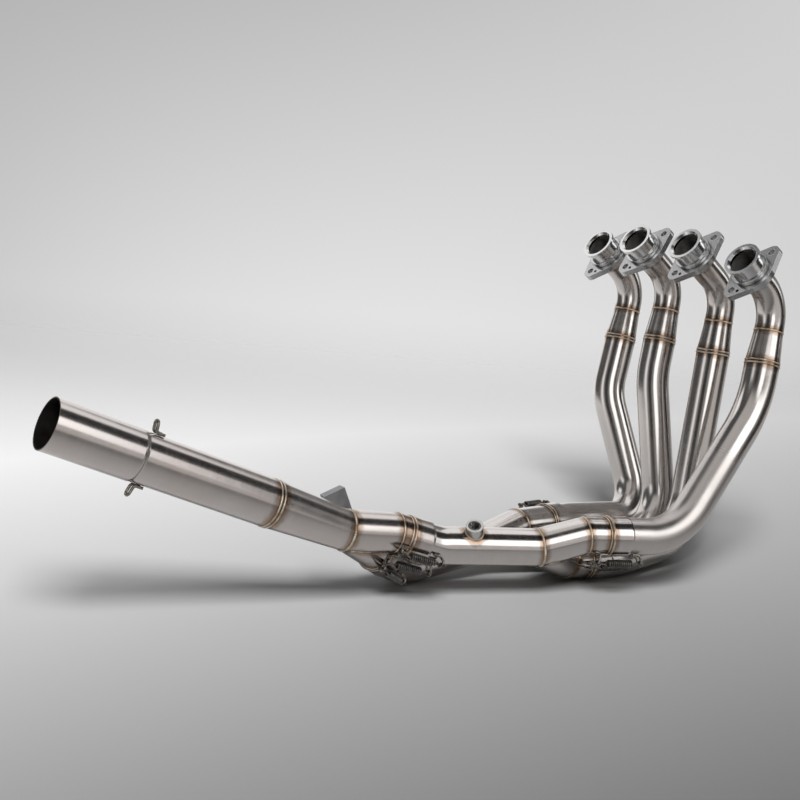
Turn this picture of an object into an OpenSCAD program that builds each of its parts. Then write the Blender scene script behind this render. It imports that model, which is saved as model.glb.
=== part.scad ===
// Stainless 4-into-2-into-1 exhaust header with link pipe.
// Frame: X forward, Z up, +Y to the left of the machine, floor at Z = 0.

/* [Tubing] */
// Outside diameter of the tube below each port
head_d = 35; // [33:0.5:37]
// Outside diameter of the lower header tubes and the secondaries
main_d = 42; // [40:0.5:42.5]
// Outside diameter of the link pipe where the silencer slips over it
link_d = 51; // [48:0.5:54]
// Length of the sized end that the silencer goes over
land_len = 90; // [60:1:92]
// Outside diameter of the reduced front end of the link pipe
neck_d = 43.8; // [43.2:0.2:45]
// Wall thickness of every tube
wall = 1.2; // [0.8:0.1:1.5]
// Length of the cone between the two header tube sizes
cone_len = 40; // [30:1:50]
// Distance from each elbow corner to the start of its cone
cone_start = 39; // [36:1:46]

/* [Sockets] */
// Wall thickness of the slip sockets
socket_wall = 1.6; // [1.2:0.1:2]
// Length of a slip socket
socket_len = 27; // [20:1:32]
// Depth that a tube goes into its socket
slip_depth = 22; // [15:1:24]
// Clearance all round in a slip joint
slip_gap = 0.2; // [0.1:0.05:0.4]

/* [Port ends] */
// Angle of the port axes below level
port_angle = 36; // [34:1:38]
// Wall of the spigot barrel round the tube
barrel_wall = 3.2; // [2.6:0.1:3.8]
// Wall of the spigot neck inside the flange
neck_wall = 2; // [1.5:0.1:2.8]
// Rise of the gasket lip from the barrel
lip_rise = 1.8; // [1.4:0.1:2.6]
// Rise of the step that the flange bears on from the barrel
step_rise = 2.1; // [1.6:0.1:2.8]
// Length of the spigot from its lip to the flange face
spigot_reach = 24; // [20:1:28]
// Thickness of the port flange
flange_t = 8; // [6:0.5:10]
// Distance between the two stud holes of a flange
stud_pitch = 64; // [60:1:70]
// Diameter of the stud holes
stud_hole_d = 8.5; // [8:0.1:9]
// Diameter of the middle of the flange
flange_d = 56; // [54:0.5:60]
// Diameter of the flange ears
ear_d = 20; // [17:0.5:22]
// Diameter of the small index hole
index_d = 4; // [3:0.1:5]

/* [Sensor boss] */
// Outside diameter of the sensor boss
boss_d = 19.5; // [18:0.5:24]
// Bore of the sensor boss, the minor diameter of its thread
boss_bore_d = 10.8; // [10:0.1:11.5]
// Height of the boss above the tube axis
boss_top = 32; // [28:0.5:36]

/* [Springs and hooks] */
// Wire diameter of the springs
spring_wire_d = 2; // [1.5:0.1:2.2]
// Mean diameter of a spring coil
spring_coil_d = 7; // [6.4:0.2:7.4]
// Number of turns in a spring
spring_turns = 12; // [10:1:13]
// Wire diameter of the welded hooks
hook_wire_d = 3; // [2.4:0.1:3.2]
// Height of a hook above its tube
hook_rise = 9; // [8:0.5:11]

/* [Bracket] */
// Thickness of the hanger bracket sheet
sheet_t = 2; // [1.5:0.1:3]
// Width of the hanger bracket
bracket_w = 24; // [20:1:28]
// Depth of the folded top of the bracket
bracket_fold = 13; // [10:1:16]

/* [Hidden] */
$fn = 32;
weld_gap = 0.1;
hairline = 0.01;
socket_step = 2;
head_r = head_d / 2;
main_r = main_d / 2;
link_r = link_d / 2;
neck_r = neck_d / 2;
socket_bore_r = main_r + slip_gap;
socket_r = socket_bore_r + socket_wall;
tight = main_r + 1.5;
neck_tight = neck_r + 2.6;
turn_bend = 60;
branch_bend = 40;
lip_d = head_d + 2 * (barrel_wall + lip_rise);
barrel_d = head_d + 2 * barrel_wall;
step_d = head_d + 2 * (barrel_wall + step_rise);
spigot_neck_d = head_d + 2 * neck_wall;
lip_t = 3.5;
lip_slope = 1.5;
step_t = 6;
port_dir = [cos(port_angle), 0, -sin(port_angle)];

// Centre of each port lip, port 1 on the left of the machine.
lips = [[367, 143, 388], [353, 57, 400], [356, -29, 401], [366, -115, 390]];
// Twist of each flange about its port axis.
flange_twist = [19, 27, 23, 21];

// Weld and slip points of the three collectors.
near_mitre = [103, -113, 58];
near_root = [108, -111, 56];
near_knee = [157, -127, 71];
near_slip = [207, -141, 70];
near_low_knee = [175, -76, 25];
near_low_slip = [231, -80, socket_r + 0.06];
far_mitre = [88, -26, 38];
far_root = [94, -25, 37];
far_knee = [155, -6, 49];
far_slip = [234, 16, 44];
far_low_knee = [165, -31, 25];
far_low_slip = [235, -32, socket_r + 0.06];
rear_mitre = [-125, -74, 85];
rear_root = [-119, -70, 81];
rear_knee = [-65, -76, 78];
rear_turn = [-12, -82, 61];
rear_low_turn = [-15, -18, 17];
outlet = [-441, -74, 208];

function unit(v) = v / norm(v);
// Side of a tube's first straight that faces its first bend.
function first_side(p) =
    let (dir = unit(p[1] - p[0]), next = len(p) > 2 ? unit(p[2] - p[1]) : dir)
    square_to(dir, turn(dir, next) > 0.05 ? next : abs(dir[2]) < 0.9 ? [0, 0, 1] : [1, 0, 0]);
function along(a, b, s) = a + unit(b - a) * s;
function clamp1(x) = max(-1, min(1, x));
function turn(a, b) = acos(clamp1(unit(a) * unit(b)));
// Any unit vector square to z, turned as near as it goes to the given one.
function square_to(z, v) = unit(v - (v * z) * z);

// Distance from a corner to where its bend begins.
function setback(p, r, i) =
    (i == 0 || i == len(p) - 1) ? 0 : r[i] * tan(turn(p[i] - p[i - 1], p[i + 1] - p[i]) / 2);

// Elbow corner of a port: the port axis meets the line of the tube below it.
elbow_reach = [90, 91.5, 98, 82.5];
function elbow(i) = lips[i] + port_dir * elbow_reach[i];

// Corners of each header pipe from lip to socket, with the bend radius at each.
lead_in = 22;
lower_route = [
    [[400, 128, 185], [421, 62, 24], along(far_slip, far_knee, -lead_in)],
    [[399, 44, 221], [404, 2, 26], along(far_low_slip, far_low_knee, -lead_in)],
    [[391, -48, 26], along(near_low_slip, near_low_knee, -lead_in)],
    [[400, -132, 211], [272, -154, 68], along(near_slip, near_knee, -lead_in)]];
lower_bend = [[90, 52, 63], [150, 63, 63], [70, 63], [150, 84, 63]];
socket_end = [along(far_slip, far_knee, slip_depth), along(far_low_slip, far_low_knee, slip_depth),
              along(near_low_slip, near_low_knee, slip_depth), along(near_slip, near_knee, slip_depth)];

function header_route(i) = concat(
    [lips[i] + port_dir * 6, elbow(i), along(elbow(i), lower_route[i][0], cone_start),
     along(elbow(i), lower_route[i][0], cone_start + cone_len)],
    lower_route[i], [socket_end[i]]);
function header_bends(i) = concat([0, 48, 0, 0], lower_bend[i]);

// Tube wall of one straight, from radius r1 to radius r2.
module wall_straight(h, r1, r2, solid) {
    difference() {
        cylinder(h = h, r1 = r1, r2 = r2);
        if (!solid) translate([0, 0, -1]) {
            if (r1 == r2) cylinder(h = h + 2, r = r1 - wall);
            else {
                cylinder(h = 1.001, r = r1 - wall);
                translate([0, 0, 1]) cylinder(h = h, r1 = r1 - wall, r2 = r2 - wall);
                translate([0, 0, h + 0.999]) cylinder(h = 1, r = r2 - wall);
            }
        }
    }
}

// A ring inside the wall across a joint keeps the tube in one piece.
module joint_ring(radius, solid) {
    translate([0, 0, -0.4]) difference() {
        cylinder(h = 0.8, r = radius - wall / 4);
        if (!solid) translate([0, 0, -1]) cylinder(h = 3, r = radius - 3 * wall / 4);
    }
}

// One straight and the bend after it, then the rest of the tube in the frame
// at the end of that bend. r gives the radius at both ends of each straight.
module tube_run(p, bend, r, solid = false, trim = 0, i = 0, x = undef) {
    dir = unit(p[i + 1] - p[i]);
    side = is_undef(x) ? first_side(p) : x;
    last = i == len(p) - 2;
    next = last ? dir : unit(p[i + 2] - p[i + 1]);
    angle = last ? 0 : turn(dir, next);
    toward = angle < 0.05 ? side : square_to(dir, next);
    roll = angle < 0.05 ? 0 : atan2(toward * cross(dir, side), toward * side);
    len_i = norm(p[i + 1] - p[i]) - setback(p, bend, i) - setback(p, bend, i + 1);
    behind = i == 0 ? 0 : hairline;
    translate([0, 0, behind])
        wall_straight(len_i - behind - (last ? trim : hairline), r[i][0], r[i][1], solid);
    if (!last) translate([0, 0, len_i]) joint_ring(r[i][1], solid);
    if (last) {
        translate([0, 0, len_i]) children();
    } else if (angle < 0.05) {
        translate([0, 0, len_i]) tube_run(p, bend, r, solid, trim, i + 1, side) children();
    } else {
        radius = bend[i + 1];
        translate([0, 0, len_i]) rotate([0, 0, roll]) {
            translate([radius, 0, 0]) rotate([90, 0, 180])
                rotate_extrude(angle = angle) translate([radius, 0]) difference() {
                    circle(r = r[i][1]);
                    if (!solid) circle(r = r[i][1] - wall);
                }
            translate([radius, 0, 0]) rotate([0, angle, 0]) translate([-radius, 0, 0]) {
                joint_ring(r[i][1], solid);
                tube_run(p, bend, r, solid, trim, i + 1, toward * cos(angle) - dir * sin(angle))
                    children();
            }
        }
    }
}

// Puts its children in the frame whose z runs along z and whose x is nearest v.
module in_frame(o, z, v = [0, 0, 1]) {
    zz = unit(z);
    xx = square_to(zz, v);
    yy = cross(zz, xx);
    multmatrix([[xx[0], yy[0], zz[0], o[0]], [xx[1], yy[1], zz[1], o[1]],
                [xx[2], yy[2], zz[2], o[2]], [0, 0, 0, 1]]) children();
}

// Starts a tube at its first point.
module start(p) {
    in_frame(p[0], p[1] - p[0], first_side(p)) children();
}

function plain(p, radius) = [for (k = [0 : len(p) - 2]) [radius, radius]];

module header_pipe(i) {
    p = header_route(i);
    r = [for (k = [0 : len(p) - 2])
            k < 2 ? [head_r, head_r] : k == 2 ? [head_r, main_r] : [main_r, main_r]];
    color("#b9b4ad") start(p) tube_run(p, header_bends(i), r);
}

module header_pipe_1() header_pipe(0);
module header_pipe_2() header_pipe(1);
module header_pipe_3() header_pipe(2);
module header_pipe_4() header_pipe(3);

// Turned spigot: lip, barrel, step, and a neck that holds the flange.
module port_spigot(i) {
    bore = head_r + weld_gap;
    lead = head_r - wall;
    color("#dcdcde") in_frame(lips[i], port_dir, [0, 1, 0]) difference() {
        union() {
            cylinder(h = lip_t, d = lip_d);
            translate([0, 0, lip_t]) cylinder(h = lip_slope, d1 = lip_d, d2 = barrel_d);
            translate([0, 0, lip_t + lip_slope])
                cylinder(h = spigot_reach - step_t - lip_t - lip_slope, d = barrel_d);
            translate([0, 0, spigot_reach - step_t]) cylinder(h = step_t, d = step_d);
            translate([0, 0, spigot_reach]) cylinder(h = flange_t + 4, d = spigot_neck_d);
        }
        translate([0, 0, -1]) cylinder(h = 8, r = lead);
        translate([0, 0, 6 - weld_gap]) cylinder(h = spigot_reach + flange_t, r = bore);
        translate([0, 0, -0.01]) cylinder(h = 2.5, r1 = lead + 2.5, r2 = lead);
    }
}

module port_spigot_1() port_spigot(0);
module port_spigot_2() port_spigot(1);
module port_spigot_3() port_spigot(2);
module port_spigot_4() port_spigot(3);

// Two-stud flange: a middle disc, two ears and the straight sides between them.
module flange_blank() {
    reach = stud_pitch / 2;
    a = acos((flange_d - ear_d) / 2 / reach);
    // The straight sides start a hair inside the discs, so that they cross them.
    mid = flange_d / 2 - 0.05;
    ear = ear_d / 2 - 0.05;
    cylinder(h = flange_t, d = flange_d);
    for (s = [-1, 1]) {
        translate([s * reach, 0, 0]) cylinder(h = flange_t, d = ear_d);
        linear_extrude(height = flange_t)
            polygon([[0, mid / 2], [s * mid * cos(a), mid * sin(a)],
                     [s * (reach + ear * cos(a)), ear * sin(a)],
                     [s * (reach + ear * cos(a)), -ear * sin(a)],
                     [s * mid * cos(a), -mid * sin(a)], [0, -mid / 2]]);
    }
}

module port_flange(i) {
    color("#d0d0d2") in_frame(lips[i] + port_dir * (spigot_reach + weld_gap), port_dir, [0, 0, 1])
        rotate([0, 0, flange_twist[i]]) difference() {
            flange_blank();
            translate([0, 0, -1]) cylinder(h = flange_t + 2, d = spigot_neck_d + 2 * slip_gap);
            for (s = [-1, 1]) translate([s * stud_pitch / 2, 0, -1])
                cylinder(h = flange_t + 2, d = stud_hole_d);
            translate([-stud_pitch / 2 + 3.5, ear_d / 2 - 1.5, -1]) cylinder(h = flange_t + 2, d = index_d);
        }
}

module port_flange_1() port_flange(0);
module port_flange_2() port_flange(1);
module port_flange_3() port_flange(2);
module port_flange_4() port_flange(3);

// Slip socket that ends at z = 0: a step on the tube, then the wider bore.
module slip_socket() {
    translate([0, 0, -socket_len]) difference() {
        cylinder(h = socket_len, r = socket_r);
        translate([0, 0, -1]) cylinder(h = socket_len, r = main_r - wall);
        translate([0, 0, socket_step]) cylinder(h = socket_len, r = socket_bore_r);
    }
}

// A tube with a branch let into its wall, each ending in a slip socket. mitre
// is the corner of the main tube that the branch grows from.
module forked_tube(main, bends, r, mitre, fork, fork_bends) {
    throat_r = main_r - wall - 0.5;
    axis = fork[1] - fork[0];
    difference() {
        start(main) tube_run(main, bends, r, trim = socket_len - 1) slip_socket();
        in_frame(fork[0], axis) cylinder(h = 60, r = throat_r);
    }
    difference() {
        start(fork) tube_run(fork, fork_bends, plain(fork, main_r), trim = socket_len - 1) slip_socket();
        for (way = [-1, 1])
            in_frame(main[mitre], main[mitre + way] - main[mitre])
                translate([0, 0, -25]) cylinder(h = 25 + norm(main[mitre + way] - main[mitre]), r = main_r - wall + 0.4);
    }
}

rear_slip = along(rear_knee, rear_turn, 39);
rear_low_slip = along(rear_mitre, rear_low_turn, 100);
near_route = [along(rear_slip, rear_knee, slip_depth), rear_turn, near_mitre, near_knee, near_slip];
near_fork = [near_root, near_low_knee, near_low_slip];
far_route = [along(rear_low_slip, rear_mitre, slip_depth), rear_low_turn, far_mitre, far_knee, far_slip];
far_fork = [far_root, far_low_knee, far_low_slip];
link_straight = 243;
land_rise = 0.5;
link_route = [outlet, along(outlet, rear_mitre, land_len), along(outlet, rear_mitre, link_straight),
              rear_mitre, rear_knee, rear_slip];
link_fork = [rear_root, rear_low_slip];

// The bore of the boss opens into the secondary.
boss_at = along(rear_turn, near_mitre, 42);
boss_dir = unit([-0.33, -0.4, 0.855]);

module near_collector() {
    color("#b9b4ad") difference() {
        forked_tube(near_route, [0, turn_bend, tight, tight, 0], plain(near_route, main_r), 2,
                    near_fork, [0, branch_bend, 0]);
        in_frame(boss_at, boss_dir) cylinder(h = boss_top, d = boss_d + 2 * weld_gap);
    }
}

module far_collector() {
    color("#b9b4ad") forked_tube(far_route, [0, turn_bend, tight, tight, 0],
        plain(far_route, main_r), 2, far_fork, [0, branch_bend, 0]);
}

// Link pipe: the outlet tube, its reducer and the rear collector are one weldment.
module link_pipe() {
    color("#b3ada6") forked_tube(link_route, [0, 0, 0, neck_tight, neck_tight, 0],
        [[link_r, link_r], [link_r - land_rise, link_r - land_rise], [link_r - land_rise, neck_r],
         [neck_r, neck_r], [neck_r, neck_r]], 3, link_fork, [0, 0]);
}

module sensor_boss() {
    color("#c8c4be") difference() {
        in_frame(boss_at, boss_dir) difference() {
            cylinder(h = boss_top, d = boss_d);
            translate([0, 0, -1]) cylinder(h = boss_top + 2, d = boss_bore_d);
        }
        in_frame(rear_turn, near_mitre - rear_turn) translate([0, 0, -20])
            cylinder(h = 160, r = main_r - wall);
    }
}

// Hanger bracket: a web that stands on the rear collector, with a folded top.
bracket_at = along(rear_mitre, rear_knee, 6);
bracket_rise = 43;
bracket_seat = 0.2;

module hanger_bracket() {
    color("#5c5c60") difference() {
        in_frame(bracket_at, [-0.37, 0.1, 0.92], [1, -0.1, 0]) {
            translate([-bracket_w / 2, 7, 15]) cube([bracket_w, sheet_t, bracket_rise - 15]);
            translate([-bracket_w / 2, 7, bracket_rise - sheet_t]) cube([bracket_w, bracket_fold, sheet_t]);
            translate([-bracket_w / 2, 7, bracket_rise - 7]) cube([sheet_t, bracket_fold, 7]);
        }
        in_frame(rear_mitre, rear_knee - rear_mitre) translate([0, 0, -12])
            cylinder(h = 140, r = neck_r + bracket_seat);
        in_frame(rear_mitre, outlet - rear_mitre)
            cylinder(h = norm(outlet - rear_mitre) - link_straight,
                     r1 = neck_r + bracket_seat, r2 = link_r - land_rise + bracket_seat);
    }
}

// Welded wire hook on a tube of radius on_r whose axis is z: two feet and an
// arch at radius arch_r that leans towards -z.
module wire_hook(on_r, arch_r) {
    low = on_r + hook_wire_d / 2 + weld_gap;
    high = arch_r;
    p = [[low, -4, 11], [low, -4, 2], [high, -4, 0], [high, 4, 0], [low, 4, 2], [low, 4, 11]];
    start(p) tube_run(p, [0, 3, 3.6, 3.6, 3, 0],
                      [for (k = [0 : 4]) [hook_wire_d / 2, hook_wire_d / 2]], solid = true);
}

// A slip joint is the end of a socket and the way its pipe leaves it. Springs
// sit beside it at an angle from the joint's upper side.
function spring_radius() = socket_r + weld_gap + hook_rise;
hook_behind = -socket_len - 12;
hook_ahead = 14;
spring_span = hook_ahead - hook_behind;

module at_joint(slip, way, angle) {
    in_frame(slip, way) rotate([0, 0, angle]) children();
}

// The feet of both hooks point at each other, and their arches lean apart.
module socket_hook(slip, way, angle, on_r = main_r) {
    at_joint(slip, way, angle) translate([0, 0, hook_behind]) wire_hook(on_r, spring_radius());
}

module pipe_hook(slip, way, angle) {
    at_joint(slip, way, angle) translate([0, 0, hook_ahead]) rotate([0, 180, 0]) rotate([0, 0, 180])
        wire_hook(main_r, spring_radius());
}

// Centre line of a tension spring along z with a loop round each hook wire.
loop_r = hook_wire_d / 2 + spring_wire_d / 2 + 0.4;
coil_len = spring_turns * (spring_wire_d + 0.5);
helix_sides = 8;
function spring_line() =
    let (half = spring_span / 2, r = spring_coil_d / 2, n = spring_turns * helix_sides)
    concat(
        [for (a = [300 : -30 : 0]) [loop_r * sin(a), 0, -half + loop_r * cos(a)]],
        [[0.3 * r, 0, -coil_len / 2 - 2.5]],
        [for (k = [0 : n]) [r * cos(k * 360 / helix_sides), r * sin(k * 360 / helix_sides),
                            -coil_len / 2 + coil_len * k / n]],
        [[0.3 * r, 0, coil_len / 2 + 2.5]],
        [for (a = [0 : 30 : 300]) [-loop_r * sin(a), 0, half - loop_r * cos(a)]]);

// Carries a normal along the line, square to it at every point.
function tangents(l) = [for (k = [0 : len(l) - 1])
    unit(l[min(k + 1, len(l) - 1)] - l[max(k - 1, 0)])];
function normals(t, k = 0, n = [0, 1, 0], out = []) =
    k == len(t) ? out
    : let (m = unit(n - (n * t[k]) * t[k])) normals(t, k + 1, m, concat(out, [m]));

module wire(l, d, sides = 5) {
    t = tangents(l);
    m = normals(t);
    points = [for (k = [0 : len(l) - 1]) for (j = [0 : sides - 1])
        l[k] + d / 2 * (cos(j * 360 / sides) * m[k] + sin(j * 360 / sides) * cross(t[k], m[k]))];
    sides_faces = [for (k = [0 : len(l) - 2]) for (j = [0 : sides - 1])
        let (a = k * sides + j, b = k * sides + (j + 1) % sides)
        [a, a + sides, b + sides, b]];
    polyhedron(points, concat(sides_faces, [[for (j = [0 : sides - 1]) j]],
        [[for (j = [sides - 1 : -1 : 0]) (len(l) - 1) * sides + j]]), convexity = 8);
}

module tension_spring(slip, way, angle) {
    color("#4a4844") at_joint(slip, way, angle)
        translate([spring_radius(), 0, (hook_ahead + hook_behind) / 2]) wire(spring_line(), spring_wire_d);
}

// Slip joints: socket end, direction of the pipe that goes in, spring angles.
near_upper = [near_slip, near_slip - near_knee];
near_lower = [near_low_slip, near_low_slip - near_low_knee];
far_upper = [far_slip, far_slip - far_knee];
far_lower = [far_low_slip, far_low_slip - far_low_knee];
rear_upper = [rear_slip, rear_slip - rear_knee];
rear_lower = [rear_low_slip, rear_low_slip - rear_mitre];
near_upper_angle = 150;
near_lower_angle = 90;
far_upper_angle = -60;
far_lower_angle = 40;
rear_upper_angle = 165;
rear_lower_angle = 130;
rear_outer_angle = 118;

module near_upper_spring() tension_spring(near_upper[0], near_upper[1], near_upper_angle);
module near_lower_spring() tension_spring(near_lower[0], near_lower[1], near_lower_angle);
module far_upper_spring() tension_spring(far_upper[0], far_upper[1], far_upper_angle);
module far_lower_spring() tension_spring(far_lower[0], far_lower[1], far_lower_angle);
module rear_upper_spring() tension_spring(rear_upper[0], rear_upper[1], rear_upper_angle);
module rear_lower_spring() tension_spring(rear_lower[0], rear_lower[1], rear_lower_angle);
module rear_outer_spring() tension_spring(rear_upper[0], rear_upper[1], rear_outer_angle);

module header_hooks() {
    color("#55534f") {
        pipe_hook(near_upper[0], near_upper[1], near_upper_angle);
        pipe_hook(near_lower[0], near_lower[1], near_lower_angle);
        pipe_hook(far_upper[0], far_upper[1], far_upper_angle);
        pipe_hook(far_lower[0], far_lower[1], far_lower_angle);
    }
}

module near_collector_hooks() {
    color("#55534f") {
        socket_hook(near_upper[0], near_upper[1], near_upper_angle);
        socket_hook(near_lower[0], near_lower[1], near_lower_angle);
        pipe_hook(rear_upper[0], rear_upper[1], rear_upper_angle);
        pipe_hook(rear_upper[0], rear_upper[1], rear_outer_angle);
    }
}

module far_collector_hooks() {
    color("#55534f") {
        socket_hook(far_upper[0], far_upper[1], far_upper_angle);
        socket_hook(far_lower[0], far_lower[1], far_lower_angle);
        pipe_hook(rear_lower[0], rear_lower[1], rear_lower_angle);
    }
}

// Hooks of the link pipe: those of its sockets, and two for the silencer.
module link_pipe_hooks() {
    color("#55534f") {
        socket_hook(rear_upper[0], rear_upper[1], rear_upper_angle, neck_r);
        socket_hook(rear_lower[0], rear_lower[1], rear_lower_angle);
        socket_hook(rear_upper[0], rear_upper[1], rear_outer_angle, neck_r);
        for (angle = [0, 180])
            in_frame(outlet, rear_mitre - outlet) rotate([0, 0, angle]) translate([0, 0, land_len + 7])
                wire_hook(link_r - land_rise, link_r + hook_rise + 3);
    }
}

header_pipe_1();
header_pipe_2();
header_pipe_3();
header_pipe_4();
port_spigot_1();
port_spigot_2();
port_spigot_3();
port_spigot_4();
port_flange_1();
port_flange_2();
port_flange_3();
port_flange_4();
near_collector();
far_collector();
link_pipe();
sensor_boss();
hanger_bracket();
near_upper_spring();
near_lower_spring();
far_upper_spring();
far_lower_spring();
rear_upper_spring();
rear_lower_spring();
rear_outer_spring();
header_hooks();
near_collector_hooks();
far_collector_hooks();
link_pipe_hooks();
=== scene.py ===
import math

import bpy
from mathutils import Matrix, Vector
from mathutils.kdtree import KDTree


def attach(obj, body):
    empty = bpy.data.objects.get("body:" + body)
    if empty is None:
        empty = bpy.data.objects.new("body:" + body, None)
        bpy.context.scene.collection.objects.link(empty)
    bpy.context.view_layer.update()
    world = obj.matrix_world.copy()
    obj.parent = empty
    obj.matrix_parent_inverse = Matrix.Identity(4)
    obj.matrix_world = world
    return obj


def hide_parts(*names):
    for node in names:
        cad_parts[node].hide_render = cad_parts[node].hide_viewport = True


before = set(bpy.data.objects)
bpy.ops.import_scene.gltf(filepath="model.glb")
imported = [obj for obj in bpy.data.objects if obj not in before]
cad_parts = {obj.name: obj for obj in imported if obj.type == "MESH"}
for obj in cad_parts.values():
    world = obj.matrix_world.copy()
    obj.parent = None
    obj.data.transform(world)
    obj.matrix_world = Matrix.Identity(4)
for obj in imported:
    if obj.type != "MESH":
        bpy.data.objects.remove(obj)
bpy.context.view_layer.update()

# The header's own lengths are in millimetres in the frame of the part, and its meshes are scaled to
# metres. Lengths in the shaders, and the stage with its lamp and camera, are in metres.
metre = 0.001


def vec(x, y, z):
    return Vector((x, y, z))


def direction(a, b):
    return (b - a).normalized()


def along(a, b, length):
    return a + direction(a, b) * length


def squareTo(way):
    side = way.orthogonal().normalized()
    return side, way.cross(side)


def circle(side, up, count):
    angles = [2 * math.pi * j / count for j in range(count)]
    return [side * math.cos(angle) + up * math.sin(angle) for angle in angles]


# Header sizes

tubing = {
    "headR": 17.5, "mainR": 21, "linkR": 25.5, "neckR": 21.9, "landRise": 0.5, "wall": 1.2,
    "coneStart": 39, "coneLength": 40, "landLength": 90, "linkStraight": 243,
    "socketLength": 27, "socketStep": 2, "socketBoreR": 21.2, "socketR": 22.8,
    "socketChamfer": 0.3, "socketLap": 0.2, "socketRings": (6, 12, 18, 24, 26.6),
    "slipDepth": 22, "leadIn": 22, "lap": 1, "restGap": 0.06,
    "tightBend": 22.5, "linkBend": 24.5, "sweepBend": 60, "forkBend": 40,
    "rearSlipAt": 39, "rearLowSlipAt": 100,
    "sides": 72, "ringStep": 2.5, "fewestRings": 3, "straightAngle": 0.001, "sameRing": 0.01,
}
headR, mainR, neckR, linkR = tubing["headR"], tubing["mainR"], tubing["neckR"], tubing["linkR"]
socketR = tubing["socketR"]
linkBodyR = linkR - tubing["landRise"]
coneEnd = tubing["coneStart"] + tubing["coneLength"]

ports = {
    "lips": [vec(367, 143, 388), vec(353, 57, 400), vec(356, -29, 401), vec(366, -115, 390)],
    "angle": 36,  # below level
    "elbowReach": [90, 91.5, 98, 82.5],
    "elbowBend": 48,
    "neckEnd": 36, "tubeStart": 6,
}
portDir = vec(math.cos(math.radians(ports["angle"])), 0, -math.sin(math.radians(ports["angle"])))

lowSlipZ = socketR + tubing["restGap"]
nearMitre = vec(103, -113, 58)
nearRoot = vec(108, -111, 56)
nearKnee = vec(157, -127, 71)
nearSlip = vec(207, -141, 70)
nearLowKnee = vec(175, -76, 25)
nearLowSlip = vec(231, -80, lowSlipZ)
farMitre = vec(88, -26, 38)
farRoot = vec(94, -25, 37)
farKnee = vec(155, -6, 49)
farSlip = vec(234, 16, 44)
farLowKnee = vec(165, -31, 25)
farLowSlip = vec(235, -32, lowSlipZ)
rearMitre = vec(-125, -74, 85)
rearRoot = vec(-119, -70, 81)
rearKnee = vec(-65, -76, 78)
rearTurn = vec(-12, -82, 61)
rearLowTurn = vec(-15, -18, 17)
outlet = vec(-441, -74, 208)
rearSlip = along(rearKnee, rearTurn, tubing["rearSlipAt"])
rearLowSlip = along(rearMitre, rearLowTurn, tubing["rearLowSlipAt"])

# Slip joints: the rim of the socket, and the knee behind it
joints = {
    "nearUpper": (nearSlip, nearKnee), "nearLower": (nearLowSlip, nearLowKnee),
    "farUpper": (farSlip, farKnee), "farLower": (farLowSlip, farLowKnee),
    "rearUpper": (rearSlip, rearKnee), "rearLower": (rearLowSlip, rearMitre),
}

headerRoutes = [
    {"joint": "farUpper", "corners": [vec(400, 128, 185), vec(421, 62, 24)], "bends": [90, 52, 63]},
    {"joint": "farLower", "corners": [vec(399, 44, 221), vec(404, 2, 26)], "bends": [150, 63, 63]},
    {"joint": "nearLower", "corners": [vec(391, -48, 26)], "bends": [70, 63]},
    {"joint": "nearUpper", "corners": [vec(400, -132, 211), vec(272, -154, 68)], "bends": [150, 84, 63]},
]


# Sweeps

def bentPath(corners, bends, radii):
    step = tubing["ringStep"]
    last = len(corners) - 1
    path = []

    def cut(i):
        if i in (0, last):
            return 0
        before = corners[i] - corners[i - 1]
        return bends[i] * math.tan(before.angle(corners[i + 1] - corners[i]) / 2)

    for i in range(last):
        way = direction(corners[i], corners[i + 1])
        start = corners[i] + way * cut(i)
        end = corners[i + 1] - way * cut(i + 1)
        startR, endR = radii[i]
        if (end - start).dot(way) <= 0:
            # two bends meet, with no straight between them
            path.append((start.lerp(end, 0.5), way, endR))
        else:
            count = math.ceil((end - start).length / step)
            for k in range(count + 1):
                share = k / count
                path.append((start.lerp(end, share), way, startR + (endR - startR) * share))
        if i + 1 < last:
            bend = bends[i + 1]
            nextWay = direction(corners[i + 1], corners[i + 2])
            angle = way.angle(nextWay)
            if angle > tubing["straightAngle"] and bend:
                axis = way.cross(nextWay).normalized()
                centre = end + axis.cross(way) * bend
                count = max(tubing["fewestRings"], math.ceil(bend * angle / step))
                for k in range(1, count):
                    spin = Matrix.Rotation(angle * k / count, 3, axis)
                    path.append((centre + spin @ (end - centre), spin @ way, endR))
    same = tubing["sameRing"]
    clean = [path[0]]
    for ring in path[1:]:
        if (ring[0] - clean[-1][0]).length > same or abs(ring[2] - clean[-1][2]) > same:
            clean.append(ring)
    return clean


def wirePath(points, radius):
    path = []
    for k, point in enumerate(points):
        heading = direction(points[max(k - 1, 0)], points[min(k + 1, len(points) - 1)])
        path.append((point, heading, radius))
    return path


def ringFrames(path):
    side = path[0][1].orthogonal().normalized()
    length = 0
    frames = []
    for k, (centre, way, radius) in enumerate(path):
        if k:
            length += (centre - path[k - 1][0]).length
        side = (side - way * side.dot(way)).normalized()
        frames.append((centre, side, way.cross(side), radius, length))
    return frames


def newParts():
    return {"verts": [], "faces": [], "uvs": [], "slots": [], "smooth": []}


def addFace(parts, face, uvs, slot=0, smooth=True):
    parts["faces"].append(face)
    parts["uvs"].append(uvs)
    parts["slots"].append(slot)
    parts["smooth"].append(smooth)


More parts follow.
